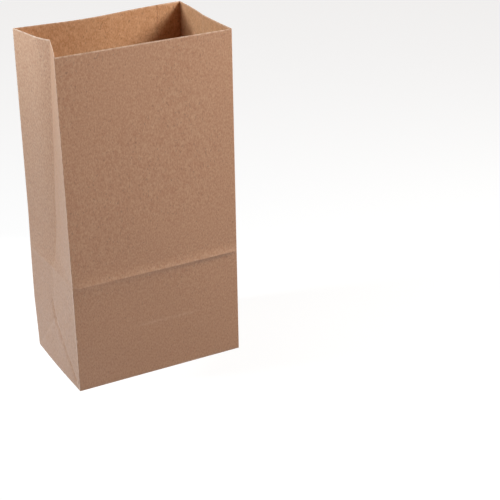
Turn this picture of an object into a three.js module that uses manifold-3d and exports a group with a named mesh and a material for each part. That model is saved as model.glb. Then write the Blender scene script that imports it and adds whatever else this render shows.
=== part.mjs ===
// A brown paper lunch bag: a block-bottom bag folded and glued from one sheet, opened and standing.
// Millimetres, +Z up. The origin is the middle of the bottom, and the front panel faces -Y.
import * as THREE from "three";
import { mergeVertices } from "three/addons/utils/BufferGeometryUtils.js";
import Module from "manifold-3d";

// The opened bag
const bagWidth = 127; // along X, across the front panel
const bagDepth = 80; // along Y, across a side gusset laid flat
const bagHeight = 245; // from the bottom fold to the cut mouth
const paperThickness = 0.12;
const kraftColour = "#b08768";

// The glued seam down the back panel, near its right edge
const lapWidth = 16.5; // where the paper is double
const lapToCorner = 2; // from the outer cut edge to the corner

// The folded bottom
const flapOverlap = 20; // the two long flaps over each other, along the middle
const glueBite = 0.02; // how far glued plies press into each other
const hingeDent = 0.4; // depth of the fold across the back panel where the flat bottom hinged up

// The mark pressed into every panel by the edge of the bottom while the bag lay flat
const markClearance = 1.5; // how far it is above a square fold
const markRise = 0.45; // how far its ridge stands out
const markAbove = 4; // where the ridge dies out
const markBelow = 1.5;

// The side gussets: how far the crease down the middle of each is still tucked in
const apexDent = 1; // where the slanting creases of the bottom meet
const bendAboveMark = 28; // above this height a gusset narrows evenly
const leftBendTuck = 5.6;
const leftMouthTuck = 11;
const leftBackBow = 2; // the half of the left gusset next to the back panel curves out
const rightBendTuck = 0.7;
const rightMouthTuck = 1.5;

// The mouth
const backBow = 3; // the back panel sways in at the mouth

// How finely the sheet is divided
const foldSteps = 4; // from a bottom corner to the apex, up and across alike
const panelSteps = 8; // across the front and back panels
const upperSteps = 5; // from the gussets' bend to the mouth

const halfWidth = bagWidth / 2;
const halfDepth = bagDepth / 2;
const apexHeight = halfDepth; // the creases rise at 45 degrees
const markHeight = bagDepth + markClearance;
const bendHeight = markHeight + bendAboveMark;
const flapLength = halfDepth + flapOverlap / 2;

const left = { sign: -1, bendTuck: leftBendTuck, mouthTuck: leftMouthTuck, backBow: leftBackBow };
const right = { sign: 1, bendTuck: rightBendTuck, mouthTuck: rightMouthTuck, backBow: 0 };

// A value that runs straight between stops of [height, value].
function between(stops, z) {
  const last = stops.findIndex(([height]) => height >= z);
  if (last <= 0) return stops.at(last)[1];
  const [z0, v0] = stops[last - 1];
  const [z1, v1] = stops[last];
  return THREE.MathUtils.mapLinear(z, z0, z1, v0, v1);
}

// How far the middle crease of a gusset is tucked in.
function creaseTuck(side, z) {
  return between([
    [0, 0],
    [apexHeight, apexDent],
    [markHeight, 0],
    [bendHeight, side.bendTuck],
    [bagHeight, side.mouthTuck],
  ], z);
}

// How far the paper stands out along the pressed mark.
function ridge(z) {
  return between([
    [0, 0],
    [markHeight - markBelow, 0],
    [markHeight, markRise],
    [markHeight + markAbove, 0],
    [bagHeight, 0],
  ], z);
}

// How far the back panel's lower fold is pushed in.
function hinge(z) {
  const foldWidth = apexHeight / foldSteps;
  return hingeDent * Math.max(0, 1 - Math.abs(z - apexHeight) / foldWidth);
}

// Grows from the pressed mark, where the panels are flat, to 1 at the mouth.
function towardsMouth(z) {
  return THREE.MathUtils.clamp((z - markHeight) / (bagHeight - markHeight), 0, 1);
}

// Half the bag's depth at a gusset: its two halves keep their width, so a tuck draws the panels together.
function halfDepthAt(side, z) {
  return Math.sqrt(halfDepth ** 2 - creaseTuck(side, z) ** 2);
}

// The front panel from left to right, at one height. The inset is measured into the bag from its outer face.
function frontLine(z, inset) {
  const edge = inset - ridge(z);
  const from = new THREE.Vector2(-halfWidth + edge, edge - halfDepthAt(left, z));
  const to = new THREE.Vector2(halfWidth - edge, edge - halfDepthAt(right, z));
  const line = [];
  for (let i = 0; i <= panelSteps; i++) {
    line.push(new THREE.Vector2().lerpVectors(from, to, i / panelSteps));
  }
  return line;
}

// The back panel from right to left. The sheet starts inside, at the inner edge of the lap, and ends outside,
// so each face steps by one thickness at the seam.
function backLine(z, inset) {
  const edge = inset - ridge(z);
  const seam = halfWidth - lapToCorner - lapWidth * (inset / paperThickness);
  const place = (x, step) => {
    const across = (x + halfWidth) / bagWidth;
    const corner = THREE.MathUtils.lerp(halfDepthAt(left, z), halfDepthAt(right, z), across);
    const sway = backBow * towardsMouth(z) ** 2 * Math.sin(Math.PI * across);
    return new THREE.Vector2(x, corner - sway - hinge(z) - edge - step);
  };
  const line = [place(halfWidth - edge, paperThickness), place(seam, paperThickness)];
  for (let i = 0; i <= panelSteps; i++) {
    line.push(place(THREE.MathUtils.lerp(seam, edge - halfWidth, i / panelSteps), 0));
  }
  return line;
}

// A gusset between two corners, without them. Below the apex the slanting creases part a flat triangle from
// the two strips beside it, and above it the middle crease parts the two halves.
function gussetLine(side, z, inset, from, to) {
  const edge = inset - ridge(z);
  const line = [];
  for (let i = 1; i < 2 * foldSteps; i++) {
    const along = i / (2 * foldSteps);
    const y = THREE.MathUtils.lerp(from.y, to.y, along);
    const fromFront = side.sign > 0 ? along : 1 - along;
    const toCrease = 1 - Math.abs(2 * along - 1);
    const folded = Math.min(z / apexHeight, 1) < toCrease
      ? creaseTuck(side, z)
      : creaseTuck(side, Math.max(z, apexHeight)) * toCrease;
    const backHalf = Math.max(0, 2 * fromFront - 1);
    const bow = side.backBow * towardsMouth(z) * Math.sin(Math.PI * backHalf);
    line.push(new THREE.Vector2(side.sign * (halfWidth - edge - folded + bow), y));
  }
  return line;
}

// The sheet's line all round at one height, anticlockwise from the front left corner.
function outline(z, inset) {
  const front = frontLine(z, inset);
  const back = backLine(z, inset);
  return [
    ...front,
    ...gussetLine(right, z, inset, front.at(-1), back[0]),
    ...back,
    ...gussetLine(left, z, inset, back.at(-1), front[0]),
  ];
}

// The heights at which the sheet is folded or starts to turn.
function levels() {
  const heights = [];
  for (let i = 0; i <= foldSteps + 1; i++) {
    heights.push((apexHeight * i) / foldSteps);
  }
  heights.push(markHeight - markBelow, markHeight, markHeight + markAbove);
  for (let i = 0; i <= upperSteps; i++) {
    heights.push(THREE.MathUtils.lerp(bendHeight, bagHeight, i / upperSteps));
  }
  return heights;
}

// The four walls as one closed loft: the outer face, the inner face, and the cut edges above and below.
function wallsGeometry() {
  const heights = levels();
  const loops = heights.map((z) => [outline(z, 0), outline(z, paperThickness)]);
  const count = loops[0][0].length;
  const position = loops.flatMap((faces, j) => faces.flat().flatMap((p) => [p.x, p.y, heights[j]]));
  const at = (j, face, k) => (2 * j + face) * count + (k % count);
  const index = [];
  const quad = (a, b, c, d, crossed) => {
    if (crossed) index.push(a, b, d, b, c, d);
    else index.push(a, b, c, a, c, d);
  };
  const rightCrease = panelSteps + foldSteps;
  const leftCrease = count - foldSteps;
  for (let k = 0; k < count; k++) {
    // The slanting creases rise towards the middle of a gusset from both sides.
    const rightBack = k >= rightCrease && k < rightCrease + foldSteps;
    const crossed = rightBack || k >= leftCrease;
    for (let j = 0; j + 1 < heights.length; j++) {
      quad(at(j, 0, k), at(j, 0, k + 1), at(j + 1, 0, k + 1), at(j + 1, 0, k), crossed);
      quad(at(j, 1, k + 1), at(j, 1, k), at(j + 1, 1, k), at(j + 1, 1, k + 1), !crossed);
    }
    const top = heights.length - 1;
    quad(at(top, 0, k), at(top, 0, k + 1), at(top, 1, k + 1), at(top, 1, k), false);
    quad(at(0, 0, k + 1), at(0, 0, k), at(0, 1, k), at(0, 1, k + 1), false);
  }
  const geometry = new THREE.BufferGeometry();
  geometry.setAttribute("position", new THREE.Float32BufferAttribute(position, 3));
  geometry.setIndex(index);
  return geometry;
}

// One ply of the bottom: a flat outline, lying in the given layer above the table.
function plyGeometry(points, layer) {
  const bite = layer > 0 ? glueBite : 0;
  const geometry = new THREE.ExtrudeGeometry(new THREE.Shape(points), {
    depth: paperThickness + bite,
    bevelEnabled: false,
  });
  geometry.translate(0, 0, layer * paperThickness - bite);
  return geometry;
}

// The bottom is folded in from four sides: the end flaps first, the back flap over them and the front flap
// last. Where a long flap turns in, a web of paper is folded flat under each of its slanting ends.
function bottomGeometries() {
  const front = frontLine(0, paperThickness / 2);
  const back = backLine(0, paperThickness / 2);
  const tip = (corner, x, y) => new THREE.Vector2(corner.x + x * flapLength, corner.y + y * flapLength);
  const frontLeft = front[0];
  const frontRight = front.at(-1);
  const backRight = back[0];
  const backLeft = back.at(-1);
  const frontFlap = [frontLeft, frontRight, tip(frontRight, -1, 1), tip(frontLeft, 1, 1)];
  const backFlap = [...back, tip(backLeft, 1, -1), tip(backRight, -1, -1)];
  const leftWeb = [frontLeft, tip(frontLeft, 1, 0), tip(frontLeft, 1, 1)];
  const rightWeb = [frontRight, tip(frontRight, -1, 1), tip(frontRight, -1, 0)];
  const leftEnd = [frontLeft, tip(frontLeft, 1, 0), tip(backLeft, 1, 0), backLeft];
  const rightEnd = [frontRight, backRight, tip(backRight, -1, 0), tip(frontRight, -1, 0)];
  return [
    plyGeometry(frontFlap, 0),
    plyGeometry(backFlap, 1),
    plyGeometry(leftWeb, 1),
    plyGeometry(rightWeb, 1),
    plyGeometry(leftEnd, 2),
    plyGeometry(rightEnd, 2),
  ];
}

const wasm = await Module();
wasm.setup();

// A geometry as a solid that can be joined to others.
function solid(geometry) {
  geometry.deleteAttribute("normal");
  geometry.deleteAttribute("uv");
  const merged = mergeVertices(geometry);
  return new wasm.Manifold(new wasm.Mesh({
    numProp: 3,
    vertProperties: new Float32Array(merged.attributes.position.array),
    triVerts: new Uint32Array(merged.index.array),
  }));
}

// The glued sheet is one body: the walls and the plies of the bottom joined.
function bagGeometry() {
  let bag = solid(wallsGeometry());
  for (const ply of bottomGeometries()) {
    bag = bag.add(solid(ply));
  }
  const mesh = bag.getMesh();
  const geometry = new THREE.BufferGeometry();
  geometry.setAttribute("position", new THREE.Float32BufferAttribute(mesh.vertProperties, 3));
  geometry.setIndex(new THREE.Uint32BufferAttribute(mesh.triVerts, 1));
  geometry.computeVertexNormals();
  return geometry;
}

const kraft = new THREE.MeshStandardMaterial({
  color: kraftColour,
  roughness: 0.8,
  metalness: 0,
  flatShading: true,
});

const paperBag = new THREE.Mesh(bagGeometry(), kraft);
paperBag.name = "paper_bag";

const lunchBag = new THREE.Group();
lunchBag.add(paperBag);

export default lunchBag;
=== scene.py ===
import math

import bmesh
import bpy
from mathutils import Matrix, Vector
from mathutils.kdtree import KDTree


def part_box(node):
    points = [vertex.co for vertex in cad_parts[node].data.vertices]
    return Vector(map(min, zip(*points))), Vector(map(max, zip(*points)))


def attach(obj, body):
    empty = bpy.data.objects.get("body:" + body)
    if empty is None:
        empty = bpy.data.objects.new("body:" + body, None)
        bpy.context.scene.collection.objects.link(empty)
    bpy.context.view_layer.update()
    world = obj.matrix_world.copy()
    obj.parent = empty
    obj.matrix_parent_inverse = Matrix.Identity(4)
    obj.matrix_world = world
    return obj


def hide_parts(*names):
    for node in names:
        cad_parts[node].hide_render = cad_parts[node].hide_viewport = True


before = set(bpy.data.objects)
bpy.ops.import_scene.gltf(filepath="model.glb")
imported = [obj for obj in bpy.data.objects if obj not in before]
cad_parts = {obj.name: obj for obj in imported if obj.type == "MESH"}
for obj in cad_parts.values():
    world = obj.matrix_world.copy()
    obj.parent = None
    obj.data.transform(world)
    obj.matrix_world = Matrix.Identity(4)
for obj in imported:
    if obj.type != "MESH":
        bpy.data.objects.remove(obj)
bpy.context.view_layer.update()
mm = 0.001
near = 0.05 * mm  # two places closer than this are the same
close = 1 * mm  # and what is closer than this is beside a fold
print("frame loaded")


# helpers for working in edit mode

selectModes = {
    "verts": (True, False, False),
    "edges": (False, True, False),
    "faces": (False, False, True),
}


def same(a, b):
    return abs(a - b) < near


def pick(piece, kind, test):
    # selects only what passes the test
    bpy.context.tool_settings.mesh_select_mode = selectModes[kind]
    bpy.ops.mesh.select_all(action="DESELECT")
    mesh = bmesh.from_edit_mesh(piece.data)
    for part in getattr(mesh, kind):
        if test(part):
            part.select_set(True)
    mesh.select_flush_mode()
    bmesh.update_edit_mesh(piece.data)


def cut(piece, test, place, normal):
    pick(piece, "faces", test)
    bpy.ops.mesh.bisect(plane_co=place, plane_no=normal)


def push(piece, test, offset):
    pick(piece, "verts", lambda v: test(v.co))
    bpy.ops.transform.translate(value=offset)


def dentSelection(offset, width):
    # moves what is selected, and its surroundings less and less
    bpy.ops.transform.translate(
        value=offset,
        use_proportional_edit=True,
        proportional_edit_falloff="LINEAR",
        proportional_size=width,
    )


def applyModifier(piece, kind, **settings):
    modifier = piece.modifiers.new(kind.title(), kind)
    for name, value in settings.items():
        setattr(modifier, name, value)
    bpy.ops.object.modifier_apply(modifier=modifier.name)


# the bag: one folded sheet

ridgeRise = 0.45 * mm  # of the pressed mark, as on the solid
low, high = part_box("paper_bag")

bag = {
    "halfWidth": (high.x - low.x) / 2 - ridgeRise,
    "halfDepth": (high.y - low.y) / 2 - ridgeRise,
    "height": high.z,
    "paper": 0.2 * mm,
    "foldRadius": 0.5 * mm,
    # the pressed mark all round, as (above the ridge, share of its height)
    "markRise": 0.4 * mm,  # above a square fold
    "ridge": [(-5 * mm, 0), (-2.5 * mm, 0.2), (0, 1), (2.5 * mm, 0.35), (6 * mm, 0)],
    "ridgeSoft": [(-5 * mm, 0.5), (-2.5 * mm, 0.8), (0, 1), (2.5 * mm, 0.35), (6 * mm, 0)],
    "ridgeHeight": {"left": 0.15 * mm, "right": 0.3 * mm, "back": 0.4 * mm},
    "frontRidge": (0.9 * mm, 1.3 * mm),  # at its left and right ends
    # the slanting folds at the foot of each gusset, left (-1) and right (1)
    "apexDent": 0.2 * mm,
    "slantDent": {
        -1: {"frontSlant": 0.7 * mm, "slant": 0.2 * mm},
        1: {"frontSlant": 0.25 * mm, "slant": 0.2 * mm},
    },
    "slantWidth": 3 * mm,
    # the left front slant runs on past the apex, by this much back and up
    "runOn": (4.5 * mm, 15 * mm),
    "runOnDent": 0.6 * mm,
    "runOnReach": 0.6 * mm,
    # the middle creases of the gussets, as (height, how far in)
    "leftTuck": [
        (60 * mm, 0.7 * mm),
        (80 * mm, 1.2 * mm),
        (90 * mm, 3.9 * mm),
        (110 * mm, 6 * mm),
        (160 * mm, 8.1 * mm),
        (245 * mm, 11.7 * mm),
    ],
    "rightTuck": [(80 * mm, 0), (110 * mm, 0.7 * mm), (245 * mm, 1.5 * mm)],
    # how far each gusset swells at the mouth, from front to back
    "swell": {
        -1: [
            (-40 * mm, 0),
            (-20 * mm, -0.4 * mm),
            (0, 0),
            (10 * mm, 2.4 * mm),
            (20 * mm, 0.9 * mm),
            (40 * mm, 0),
        ],
        1: [(-40 * mm, 0), (-20 * mm, -0.5 * mm), (0, 0), (20 * mm, 0.9 * mm), (40 * mm, 0)],
    },
    "swellPower": 1.3,  # how late it comes in above the mark
    # the left gusset's foot, and the corner behind it, bulge a little
    "footSwell": 0.6 * mm,
    "cornerSwell": [
        (0, 0),
        (20 * mm, 0.4 * mm),
        (40 * mm, 0.9 * mm),
        (58 * mm, 0.8 * mm),
        (110 * mm, 0),
    ],
    "cornerBand": 3 * mm,  # of finer paper beside each corner
    # the groove along each middle crease
    "grooveWidth": 1.6 * mm,
    "grooveDepth": 0.26 * mm,
    "grooveFull": 3 * mm,  # the tuck from which the groove has its full depth
    # level rows below and above the mark, where the sheet may bend
    "rowsBelow": [0.5, 1, 1.45],  # as shares of the apex's height
    "rowsAbove": [90, 100, 110, 132, 155, 178, 200, 222],  # mm
    # the glued lap on the back panel
    "lapWidth": 16.5 * mm,
    "lapToCorner": 2 * mm,
    # the folded bottom
    "flapOverlap": 20 * mm,
    "plyRise": 0.22 * mm,
    "pliesUnder": {"end": 3, "back": 1.6, "front": 0},
    "hingeDent": 0.4 * mm,
    # how far the back panel sways in at the mouth, from left to right
    "sway": [
        (-63.5 * mm, 0),
        (-42 * mm, 2.2 * mm),
        (-21 * mm, 5 * mm),
        (0, 4.7 * mm),
        (21 * mm, 1.6 * mm),
        (45 * mm, 0),
    ],
    "swayPower": 2,
    # upright lines on the panels, where the sheet may bend
    "frontColumns": [-58, -42, -21, 0, 21, 42, 58],  # mm
    "backColumns": [-58, -42, -21, 0, 21],  # mm, and the lap's two edges
    # slight unevenness of the paper
    "waveSize": 45 * mm,
    "waveHeight": 0.5 * mm,
    "rippleSize": 11 * mm,
    "rippleHeight": 0.1 * mm,
    "calmByFold": 14 * mm,
    "calmByFoot": 10 * mm,
    "fineness": 3,
    "sharpFold": 50,  # degrees, from which a fold is rounded
    "bendSteps": 3,
    "smoothAngle": 30,  # degrees
    # how sharp the pressed lines are, and how light each fold is painted: partly rubbed paper,
    # partly a painted highlight along the fold
    "pressed": {"mark": 0.9, "faintLine": 0.5},
    "wearAndHighlightSharpness": 2.5,
    "wearAndHighlightWidth": {"gusset": 2 * mm, "panel": 0.7 * mm},
    # a painted highlight in this band above the front's mark, where the paper tilts up to the light
    "highlightBand": 6 * mm,  # above the mark on the front panel
    "deepestTuck": 13 * mm,  # no gusset goes in farther
    "wearAndHighlight": {
        # the front-left edge's bright line is partly rubbed paper, partly a painted highlight where
        # the edge catches the light
        "frontLeftWearAndHighlight": 1,
        "corner": 0.4,
        "middle": 0.15,
        "frontMarkHighlight": 0.22,
        "mark": 0.13,
        "frontSlant": 0.35,
        "slant": 0.2,
        "foot": 0.4,
        "hinge": 0.4,
        "faintLine": 0.25,
    },
    # where the hinged bottom left a faint line on the front panel, from left to right
    "faintSpan": [(-25 * mm, 0), (-5 * mm, 1), (25 * mm, 1), (45 * mm, 0)],
}


def between(stops, z):
    # straight lines through stops of (place, value)
    for (z0, v0), (z1, v1) in zip(stops, stops[1:]):
        if z <= z1:
            return v0 + (v1 - v0) * max(0, z - z0) / (z1 - z0)
    return stops[-1][1]


def makePaperBag():
    b = bag
    hw, hd, top = b["halfWidth"], b["halfDepth"], b["height"]
    apex = hd
    mark = 2 * hd + b["markRise"]
    groove = b["grooveWidth"]
    lapInner = hw - b["lapToCorner"] - b["lapWidth"]
    lapOuter = hw - b["lapToCorner"]
    flap = hd + b["flapOverlap"] / 2
    frontColumns = [c * mm for c in b["frontColumns"]]
    backColumns = [c * mm for c in b["backColumns"]] + [lapInner, lapOuter]

    # an open box
    bpy.ops.object.select_all(action="DESELECT")
    bpy.ops.mesh.primitive_cube_add(size=1, location=(0, 0, top / 2), scale=(2 * hw, 2 * hd, top))
    piece = bpy.context.object
    piece.name = "kraftPaperBag"
    piece.data.name = piece.name
    bpy.ops.object.transform_apply(location=True, rotation=True, scale=True)
    bpy.ops.object.mode_set(mode="EDIT")
    pick(piece, "faces", lambda f: abs(f.normal.z) > 0.5)
    bpy.ops.mesh.delete(type="ONLY_FACE")

    def onFront(f):
        return f.normal.y < -0.5

    def onBack(f):
        return f.normal.y > 0.5

    def onSide(f):
        return abs(f.normal.x) > 0.5

    # lines where the sheet is folded or starts to bend
    rows = [share * apex for share in b["rowsBelow"]]
    rows += [mark + rise for rise, share in b["ridge"]]
    rows += [z * mm for z in b["rowsAbove"]]
    for z in rows:
        cut(piece, lambda f: True, (0, 0, z), (0, 0, 1))
    for x in frontColumns:
        cut(piece, onFront, (x, 0, 0), (1, 0, 0))
    for x in backColumns:
        cut(piece, onBack, (x, 0, 0), (1, 0, 0))
    edge = hd - b["cornerBand"]
    sideColumns = (-edge, -hd / 2, -groove, 0, groove, hd / 4, hd / 2, edge)
    for y in sideColumns:
        cut(piece, onSide, (0, y, 0), (0, 1, 0))

    def lowOnSide(f, end):
        middle = f.calc_center_median()
        return onSide(f) and middle.z < apex and middle.y * end > 0

    for end in (-1, 1):
        cut(piece, lambda f: lowOnSide(f, end), (0, end * hd, 0), (0, -end, -1))

    # folds get a crease, and a seam that keeps their place for the lighter lines painted along
    # them, partly rubbed paper and partly painted highlight
    def onCorner(v):
        return same(abs(v.x), hw) and same(abs(v.y), hd)

    def onSlant(v):
        return same(abs(v.x), hw) and v.z < apex + near and same(abs(v.y) + v.z, hd)

    def onMiddle(v):
        return same(v.y, 0) and v.z > apex - near

    def bothEnds(test):
        return lambda e: test(e.verts[0].co) and test(e.verts[1].co)

    def fold(test, sharpness, wornAndHighlight=True):
        pick(piece, "edges", bothEnds(test))
        bpy.ops.transform.edge_crease(value=sharpness)
        if wornAndHighlight:
            bpy.ops.mesh.mark_seam()

    fold(onCorner, 1)
    fold(onSlant, 1)
    fold(lambda v: onMiddle(v) and same(abs(v.x), hw), 1)
    fold(lambda v: same(v.z, mark), b["pressed"]["mark"])
    fold(lambda v: same(v.z, 0), 1)
    fold(lambda v: same(v.z, apex) and same(v.y, hd), 1)
    fold(lambda v: same(v.z, apex) and same(v.y, -hd), b["pressed"]["faintLine"])
    fold(lambda v: same(v.y, hd) and same(v.x, lapInner), 1, wornAndHighlight=False)
    fold(lambda v: same(v.y, hd) and same(v.x, lapOuter), 1, wornAndHighlight=False)

    # the gussets' middles go in, and draw the corners together
    heights = [z for z in rows if z > near] + [top]
    tucks = {
        -1: [(0, 0), (apex, b["apexDent"])] + b["leftTuck"],
        1: [(0, 0), (apex, b["apexDent"])] + b["rightTuck"],
    }

    def drawnIn(side, z):
        # the gusset's halves keep their width
        return hd - math.sqrt(hd**2 - between(tucks[side], z) ** 2)

    def riseAt(z):
        return max(0, (z - mark) / (top - mark))

    def pushAt(x, y, z, offset):
        push(piece, lambda v: same(v.x, x) and same(v.y, y) and same(v.z, z), offset)

    for side, stops in tucks.items():
        for z in heights:
            tuck = between(stops, z)
            for y in sideColumns:
                inward = tuck * (1 - abs(y) / hd) if z > apex - near else tuck
                if y == 0 and z > apex + near:
                    inward += b["grooveDepth"] * min(1, tuck / b["grooveFull"])
                inward -= between(b["swell"][side], y) * riseAt(z) ** b["swellPower"]
                if side < 0 and y > 0:
                    inward -= between(b["cornerSwell"], z) * y / hd
                pushAt(side * hw, y, z, (-side * inward, 0, 0))
            for end in (-1, 1):
                out = between(b["cornerSwell"], z) if (side, end) == (-1, 1) else 0
                pushAt(side * hw, end * hd, z, (side * out, -end * drawnIn(side, z), 0))
    for y in sideColumns:
        out = b["footSwell"] * math.cos(math.pi / 2 * y / hd)
        pushAt(-hw, y, 0, (-out, 0, 0))

    # the panels follow their corners
    def along(x):
        return (x + hw) / (2 * hw)

    def panelDrawn(x, z):
        return drawnIn(-1, z) * (1 - along(x)) + drawnIn(1, z) * along(x)

    for z in heights:
        for x in frontColumns:
            pushAt(x, -hd, z, (0, panelDrawn(x, z), 0))
        for x in backColumns:
            inward = panelDrawn(x, z) + between(b["sway"], x) * riseAt(z) ** b["swayPower"]
            if same(z, apex):
                inward += b["hingeDent"]
            pushAt(x, hd, z, (0, -inward, 0))

    # the pressed mark stands out, most at the right of the front panel
    left, right = b["frontRidge"]

    def inFront(v):
        return v.y < close - hd

    def inBack(v):
        return v.y > hd - close and abs(v.x) < hw - close

    def inGusset(v, side):
        return v.x * side > hw - 2 * close and abs(v.y) < hd - close

    for rise, share in b["ridge"]:
        z = mark + rise
        soft = between(b["ridgeSoft"], rise)
        for x in frontColumns:
            out = (left + (right - left) * along(x)) * (soft + (share - soft) * along(x))
            push(piece, lambda v: same(v.x, x) and inFront(v) and same(v.z, z), (0, -out, 0))
        out = b["ridgeHeight"]["back"] * share
        push(piece, lambda v: inBack(v) and same(v.z, z), (0, out, 0))
        for side, name in ((-1, "left"), (1, "right")):
            out = b["ridgeHeight"][name] * share
            push(piece, lambda v: inGusset(v, side) and same(v.z, z), (side * out, 0, 0))

    # the bottom flaps turn in from the lower edges, the ends first and the front last
    def lowerEdge(test):
        pick(piece, "edges", bothEnds(lambda v: same(v.z, 0) and test(v)))

    def turnIn(offset):
        bpy.ops.mesh.extrude_region_move(TRANSFORM_OT_translate={"value": offset})

    lift = {name: plies * b["plyRise"] for name, plies in b["pliesUnder"].items()}
    for side in (-1, 1):
        lowerEdge(lambda v: v.x * side > hw - near)
        turnIn((-side * flap, 0, lift["end"]))
    for end, name in ((1, "back"), (-1, "front")):
        lowerEdge(lambda v: same(v.y, end * hd))
        turnIn((0, -end * flap, lift[name]))
        bpy.ops.transform.resize(
            value=((hw - flap) / hw, 1, 1), center_override=(0, 0, lift[name])
        )
    bpy.ops.mesh.select_all(action="SELECT")
    bpy.ops.mesh.normals_make_consistent(inside=False)
    bpy.ops.object.mode_set(mode="OBJECT")
    print("bag folded:", len(piece.data.polygons), "faces")

    # fine paper
    applyModifier(
        piece,
        "SUBSURF",
        levels=b["fineness"],
        render_levels=b["fineness"],
        boundary_smooth="PRESERVE_CORNERS",
    )
    return piece


def foldName(v):
    b = bag
    hw, hd = b["halfWidth"], b["halfDepth"]
    onSide = abs(v.x) > hw - b["deepestTuck"] and abs(v.y) < hd - close
    if v.z < near:
        return "foot"
    if onSide and abs(v.y) < close and v.z > hd - close:
        return "middle"
    if onSide and v.z < hd and abs(abs(v.y) + v.z - hd) < close:
        return "frontSlant" if v.y < 0 else "slant"
    if abs(v.z - 2 * hd - b["markRise"]) < close / 2:
        return "frontMarkHighlight" if v.y < close - hd else "mark"
    if abs(v.x) > hw - close:
        return "frontLeftWearAndHighlight" if v.x < 0 and v.y < 0 else "corner"
    return "hinge" if v.y > 0 else "faintLine"


def wearAndHighlightFolds(piece):
    # how light the paper is painted near the folds, partly rubbed paper and partly a painted
    # highlight, and a painted highlight above the front's mark
    b = bag
    hd = b["halfDepth"]
    folds = {}
    for edge in piece.data.edges:
        if edge.use_seam:
            for i in edge.vertices:
                folds[i] = foldName(piece.data.vertices[i].co)
    tree = KDTree(len(folds))
    for i in folds:
        tree.insert(piece.data.vertices[i].co, i)
    tree.balance()
    layer = piece.data.attributes.new("foldWearAndHighlight", "FLOAT", "POINT")
    for v in piece.data.vertices:
        place, i, distance = tree.find(v.co)
        width = b["wearAndHighlightWidth"]["gusset" if abs(v.normal.x) > 0.5 else "panel"]
        amount = b["wearAndHighlight"][folds[i]] * max(0, 1 - distance / width)
        if folds[i] == "faintLine":
            amount *= between(b["faintSpan"], v.co.x)
        # a painted highlight in a band above the front's mark
        aboveMark = v.co.z - 2 * hd - b["markRise"]
        if v.co.y < close - hd and 0 < aboveMark < b["highlightBand"]:
            amount = max(amount, b["wearAndHighlight"]["frontMarkHighlight"] * (1 - aboveMark / b["highlightBand"]))
        layer.data[v.index].value = amount ** (1 / b["wearAndHighlightSharpness"])
    return folds


def dentSlants(piece, folds):
    # the slanting folds are shallow grooves
    b = bag
    hd = b["halfDepth"]
    back, up = b["runOn"]

    def onSlant(v, side):
        return v.co.x * side > 0 and v.co.z > 2 * b["slantWidth"]

    def onRunOn(v):
        share = (v.co.z - hd) / up
        onLeft = v.co.x < b["deepestTuck"] - b["halfWidth"]
        return onLeft and 0 < share < 1 and abs(v.co.y - share * back) < b["runOnReach"]

    bpy.ops.object.mode_set(mode="EDIT")
    for side in (-1, 1):
        for name, depth in b["slantDent"][side].items():
            pick(piece, "verts", lambda v: onSlant(v, side) and folds.get(v.index) == name)
            dentSelection((-side * depth, 0, 0), b["slantWidth"])
    pick(piece, "verts", onRunOn)
    dentSelection((b["runOnDent"], 0, 0), b["slantWidth"])
    bpy.ops.object.mode_set(mode="OBJECT")


def roughenPanels(piece):
    # the paper is calm beside its folds and uneven between them
    b = bag
    group = piece.vertex_groups.new(name="panels")
    for v in piece.data.vertices:
        onFrontOrBack = abs(v.co.y) > 0.9 * b["halfDepth"]
        fromFold = b["halfWidth"] - abs(v.co.x) if onFrontOrBack else b["halfDepth"] - abs(v.co.y)
        weight = min(1, max(0, fromFold / b["calmByFold"])) * min(1, v.co.z / b["calmByFoot"])
        group.add([v.index], weight, "REPLACE")
    for name, size, height in (
        ("paperWaves", b["waveSize"], b["waveHeight"]),
        ("paperRipples", b["rippleSize"], b["rippleHeight"]),
    ):
        texture = bpy.data.textures.new(name, "CLOUDS")
        texture.noise_scale = size
        texture.noise_depth = 1
        applyModifier(
            piece,
            "DISPLACE",
            texture=texture,
            texture_coords="LOCAL",
            strength=height,
            mid_level=0.5,
            vertex_group="panels",
        )


def thickenPaper(piece):
    b = bag
    applyModifier(
        piece,
        "BEVEL",
        width=b["foldRadius"],
        segments=b["bendSteps"],
        limit_method="ANGLE",
        angle_limit=math.radians(b["sharpFold"]),
    )
    applyModifier(
        piece,
        "SOLIDIFY",
        thickness=b["paper"],
        offset=-1,
        use_even_offset=True,
        material_offset=1,
        material_offset_rim=2,
    )


def raiseLap(piece):
    # the lap is two plies thick, inside and outside
    b = bag
    hd = b["halfDepth"]
    hw = b["halfWidth"]
    deep = 0.85 * hd  # only the back panel lies behind this
    lapReach = 0.3 * mm
    insideCorner = 0.4 * mm
    lapOuter = hw - b["lapToCorner"]
    lapInner = lapOuter - b["lapWidth"]
    bpy.ops.object.mode_set(mode="EDIT")

    def inLap(f, facing, end):
        c = f.calc_center_median()
        onBack = f.normal.y * facing > 0.9 and c.y > deep
        return onBack and c.z > close and lapInner < c.x < end

    pick(piece, "faces", lambda f: inLap(f, -1, hw - insideCorner))
    bpy.ops.mesh.extrude_region_move(TRANSFORM_OT_translate={"value": (0, -b["paper"], 0)})
    pick(piece, "faces", lambda f: inLap(f, 1, lapOuter))
    bpy.ops.mesh.extrude_region_move(TRANSFORM_OT_translate={"value": (0, b["paper"], 0)})
    # the outer ply has only one free edge, so its other side eases into the panel
    mesh = bmesh.from_edit_mesh(piece.data)
    eased = {v.index for v in mesh.verts if v.select and abs(v.co.x - lapInner) < lapReach}
    pick(piece, "verts", lambda v: v.index in eased)
    bpy.ops.transform.translate(value=(0, -b["paper"], 0))
    pick(piece, "verts", lambda v: abs(v.co.x - lapInner) < lapReach and v.co.y > deep)
    bpy.ops.mesh.remove_doubles(threshold=0.02 * mm)
    bpy.ops.object.mode_set(mode="OBJECT")


# kraft paper

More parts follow.
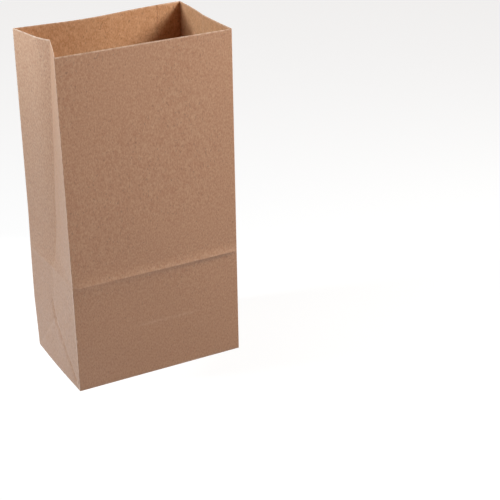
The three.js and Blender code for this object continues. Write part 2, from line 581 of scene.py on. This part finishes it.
kraft = {
    "outside": {
        "dark": (0.415, 0.178, 0.088, 1),
        "light": (0.577, 0.33, 0.197, 1),
        "gloss": 0.8,
        "mottle": 0.15,
    },
    # the inner face is a lighter copy of the paper: painted light standing in for the light
    # bouncing between the walls inside
    "inside": {
        "dark": (0.43, 0.195, 0.08, 1),
        "light": (0.68, 0.375, 0.21, 1),
        "gloss": 0.3,
        "mottle": 0.35,
    },
    # the cut edge, lighter: partly its frayed fibres, partly a painted highlight along the rim
    "cutEdge": {
        "dark": (0.62, 0.40, 0.26, 1),
        "light": (0.80, 0.56, 0.40, 1),
        "gloss": 0.3,
        "mottle": 0.15,
    },
    # lighter paper for rubbed folds, and for the painted highlights along the folds and the rim
    "wornAndHighlight": (0.80, 0.55, 0.40, 1),
    "fleck": (0.24, 0.115, 0.06, 1),
    "roughness": (0.40, 0.50),
    # the part of each noise that is used, and what it becomes
    "grain": (0.3, 0.7),
    "flecks": (0.70, 0.78, 0, 0.5),
    "unevenWearAndHighlight": (0.35, 0.65, 0.25, 1.1),
    "bumpStrength": 0.3,
    "bumpDepth": 0.12 * mm,
    # scales are per metre
    "noiseRoughness": 0.55,
    "fibreScale": 1050,
    "fibreStretch": 0.55,
    "mottleScale": 260,
    "fleckScale": 1100,
    "wearAndHighlightScale": 320,
    # the band under the mouth that is painted lighter, partly fray and partly a painted highlight
    "frayAndHighlightBand": 1.2 * mm,
}


def addNode(tree, kind, **values):
    node = tree.nodes.new(kind)
    for name, value in values.items():
        if hasattr(node, name):
            setattr(node, name, value)
        else:
            node.inputs[name.replace("_", " ")].default_value = value
    return node


def remap(tree, value, fromLow, fromHigh, toLow=0, toHigh=1, clamp=True):
    node = addNode(tree, "ShaderNodeMapRange", clamp=clamp)
    node.inputs["From Min"].default_value = fromLow
    node.inputs["From Max"].default_value = fromHigh
    node.inputs["To Min"].default_value = toLow
    node.inputs["To Max"].default_value = toHigh
    tree.links.new(value, node.inputs["Value"])
    return node.outputs[0]


def blend(tree, share, first, second):
    # first and second are colours, or sockets that give them
    node = addNode(tree, "ShaderNodeMix", data_type="RGBA")
    tree.links.new(share, node.inputs[0])
    for socket, value in ((node.inputs[6], first), (node.inputs[7], second)):
        if isinstance(value, tuple):
            socket.default_value = value
        else:
            tree.links.new(value, socket)
    return node.outputs[2]


def times(tree, a, b):
    node = addNode(tree, "ShaderNodeMath", operation="MULTIPLY")
    tree.links.new(a, node.inputs[0])
    tree.links.new(b, node.inputs[1])
    return node.outputs[0]


def makeKraft(name, face):
    material = bpy.data.materials.new(name)
    material.use_nodes = True
    tree = material.node_tree
    shader = tree.nodes["Principled BSDF"]
    link = tree.links.new
    place = addNode(tree, "ShaderNodeTexCoord").outputs["Object"]
    stretch = addNode(tree, "ShaderNodeMapping", Scale=(1, 1, kraft["fibreStretch"]))
    link(place, stretch.inputs["Vector"])

    def noise(where, scale, detail):
        node = addNode(tree, "ShaderNodeTexNoise", Scale=scale, Detail=detail)
        node.inputs["Roughness"].default_value = kraft["noiseRoughness"]
        link(where, node.inputs["Vector"])
        return node.outputs["Fac"]

    # fibres and the cloudiness of the sheet
    fibre = noise(stretch.outputs[0], kraft["fibreScale"], 2)
    mottle = noise(place, kraft["mottleScale"], 3)
    both = addNode(tree, "ShaderNodeMix", data_type="FLOAT")
    both.inputs[0].default_value = kraft[face]["mottle"]
    link(fibre, both.inputs[2])
    link(mottle, both.inputs[3])
    grain = remap(tree, both.outputs[0], *kraft["grain"], clamp=False)
    colour = blend(tree, grain, kraft[face]["dark"], kraft[face]["light"])
    # a few dark flecks
    flecks = remap(tree, noise(stretch.outputs[0], kraft["fleckScale"], 0), *kraft["flecks"])
    colour = blend(tree, flecks, colour, kraft["fleck"])
    # rubbed folds with painted highlights along them, uneven along their length
    wearAndHighlight = addNode(tree, "ShaderNodeAttribute", attribute_name="foldWearAndHighlight").outputs["Fac"]
    narrow = addNode(tree, "ShaderNodeMath", operation="POWER")
    narrow.inputs[1].default_value = bag["wearAndHighlightSharpness"]
    link(wearAndHighlight, narrow.inputs[0])
    uneven = remap(tree, noise(place, kraft["wearAndHighlightScale"], 2), *kraft["unevenWearAndHighlight"])
    colour = blend(tree, times(tree, narrow.outputs[0], uneven), colour, kraft["wornAndHighlight"])
    # and the mouth's rim, painted lighter: partly frayed paper, partly a painted highlight along
    # the edge
    height = addNode(tree, "ShaderNodeSeparateXYZ")
    link(place, height.inputs[0])
    mouth, band = bag["height"], kraft["frayAndHighlightBand"]
    frayedAndHighlight = remap(tree, height.outputs["Z"], mouth - band, mouth - 0.2 * band)
    colour = blend(tree, times(tree, frayedAndHighlight, uneven), colour, kraft["wornAndHighlight"])
    link(colour, shader.inputs["Base Color"])

    matte = remap(tree, mottle, *kraft["grain"], *kraft["roughness"])
    link(matte, shader.inputs["Roughness"])
    shader.inputs["Specular IOR Level"].default_value = kraft[face]["gloss"]
    bump = addNode(tree, "ShaderNodeBump")
    bump.inputs["Strength"].default_value = kraft["bumpStrength"]
    bump.inputs["Distance"].default_value = kraft["bumpDepth"]
    link(both.outputs[0], bump.inputs["Height"])
    link(bump.outputs[0], shader.inputs["Normal"])
    return material


paperBag = makePaperBag()
dentSlants(paperBag, wearAndHighlightFolds(paperBag))
roughenPanels(paperBag)
# the three faces of the paper, in the order that its thickness asks for
paperBag.data.materials.append(makeKraft("kraftOutside", "outside"))
paperBag.data.materials.append(makeKraft("kraftInside", "inside"))
paperBag.data.materials.append(makeKraft("kraftCutEdge", "cutEdge"))
thickenPaper(paperBag)
raiseLap(paperBag)
bpy.ops.object.shade_smooth_by_angle(angle=math.radians(bag["smoothAngle"]))
print("bag finished:", len(paperBag.data.polygons), "faces")
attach(paperBag, "root")
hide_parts("paper_bag")


# floor, light and camera

studio = {
    "floorSize": 8,
    "floorGap": 0.05 * mm,  # keeps it clear of the flap that stands on it
    "floorColour": (0.22, 0.22, 0.22, 1),
    "floorRoughness": 0.9,
    "floorGlow": 0.8,
    # a painted pool of light on the floor, left of the bag: the floor glows brighter there
    "poolSpot": (-0.12, 0.07, 0),
    "poolRadius": 0.2,
    "poolGlow": 0.35,
    "airAbove": (0.155, 0.09, 0.055),
    "airBelow": (0.03, 0.03, 0.03),
    "horizonBlend": 0.1,
    # where each lamp stands, its size, power and colour, and the height it points at
    "rightLamp": {
        "spot": (0.48, -0.43, 0.60),
        "size": 0.25,
        "power": 6.5,
        "colour": (0.95, 1, 1),
        "aim": 0.18,
    },
    "leftLamp": {
        "spot": (-0.86, 0.24, 0.49),
        "size": 0.15,
        "power": 6.5,
        "colour": (0.75, 0.90, 1),
        "aim": 0.18,
    },
    "mouthLamp": {
        "spot": (-0.17, 0.05, 0.33),
        "size": 0.06,
        "power": 0.2,
        "colour": (0.72, 0.90, 1),
        "aim": 0.22,
    },
    "leftCard": {
        "spot": (-0.17, 0, 0.03),
        "size": 0.12,
        "power": 0.006,
        "colour": (1, 0.9, 0.9),
        "aim": 0.05,
    },
}

view = {
    "lens": 104.41,
    "sensor": 36,
    "yaw": 27.883,
    "pitch": 25.252,
    "roll": -1.026,
    # the camera from the bag's foot, along its own axes
    "aside": 83.09 * mm,
    "above": 71.59 * mm,
    "away": 1084.33 * mm,
}


def makeFloor():
    bpy.ops.object.select_all(action="DESELECT")
    bpy.ops.mesh.primitive_plane_add(size=studio["floorSize"], location=(0, 0, -studio["floorGap"]))
    floor = bpy.context.object
    floor.name = "studioFloor"
    material = bpy.data.materials.new("paleFloor")
    material.use_nodes = True
    shader = material.node_tree.nodes["Principled BSDF"]
    shader.inputs["Base Color"].default_value = studio["floorColour"]
    shader.inputs["Roughness"].default_value = studio["floorRoughness"]
    shader.inputs["Emission Color"].default_value = (1, 1, 1, 1)
    tree = material.node_tree
    place = addNode(tree, "ShaderNodeTexCoord").outputs["Object"]
    away = addNode(tree, "ShaderNodeVectorMath", operation="DISTANCE")
    away.inputs[1].default_value = studio["poolSpot"]
    tree.links.new(place, away.inputs[0])
    # the floor glows brighter in a painted pool of light
    bright, plain = studio["floorGlow"] + studio["poolGlow"], studio["floorGlow"]
    glow = remap(tree, away.outputs["Value"], 0, studio["poolRadius"], bright, plain)
    tree.links.new(glow, shader.inputs["Emission Strength"])
    floor.data.materials.append(material)
    floor.visible_diffuse = False  # the air below gives the light from under the bag


def addLamp(name):
    lamp = studio[name]
    light = bpy.data.lights.new(name, "AREA")
    light.energy = lamp["power"]
    light.color = lamp["colour"]
    light.size = lamp["size"]
    holder = bpy.data.objects.new(name, light)
    bpy.context.collection.objects.link(holder)
    holder.location = lamp["spot"]
    aim = Vector(lamp["spot"]) - Vector((0, 0, lamp["aim"]))
    holder.rotation_euler = aim.to_track_quat("Z", "Y").to_euler()
    holder.visible_camera = False


def makeAir():
    # a dim sky, and the light that the floor throws back
    world = bpy.data.worlds.new("studioAir")
    world.use_nodes = True
    tree = world.node_tree
    way = addNode(tree, "ShaderNodeTexCoord")
    height = addNode(tree, "ShaderNodeSeparateXYZ")
    share = addNode(tree, "ShaderNodeMapRange", interpolation_type="SMOOTHSTEP")
    share.inputs["From Min"].default_value = -studio["horizonBlend"]
    share.inputs["From Max"].default_value = studio["horizonBlend"]
    colour = addNode(tree, "ShaderNodeMix", data_type="RGBA")
    colour.inputs[6].default_value = (*studio["airBelow"], 1)
    colour.inputs[7].default_value = (*studio["airAbove"], 1)
    tree.links.new(way.outputs["Generated"], height.inputs[0])
    tree.links.new(height.outputs["Z"], share.inputs["Value"])
    tree.links.new(share.outputs[0], colour.inputs[0])
    tree.links.new(colour.outputs[2], tree.nodes["Background"].inputs["Color"])
    bpy.context.scene.world = world


def addCamera():
    yaw, pitch, roll = (math.radians(view[k]) for k in ("yaw", "pitch", "roll"))
    ahead = Vector(
        (math.sin(yaw) * math.cos(pitch), math.cos(yaw) * math.cos(pitch), -math.sin(pitch))
    )
    right = Vector((math.cos(yaw), -math.sin(yaw), 0))
    up = right.cross(ahead)
    tilted = Matrix.Rotation(roll, 3, -ahead)
    right, up = tilted @ right, tilted @ up
    data = bpy.data.cameras.new("photoCamera")
    data.lens = view["lens"]
    data.sensor_width = view["sensor"]
    camera = bpy.data.objects.new("photoCamera", data)
    bpy.context.collection.objects.link(camera)
    spot = right * view["aside"] + up * view["above"] - ahead * view["away"]
    turn = Matrix((right, up, -ahead)).transposed().to_4x4()
    camera.matrix_world = Matrix.Translation(spot) @ turn
    bpy.context.scene.camera = camera


makeFloor()
for lampName in ("rightLamp", "leftLamp", "mouthLamp", "leftCard"):
    addLamp(lampName)
makeAir()
addCamera()
bpy.context.scene.view_settings.view_transform = "Standard"
print("studio ready")
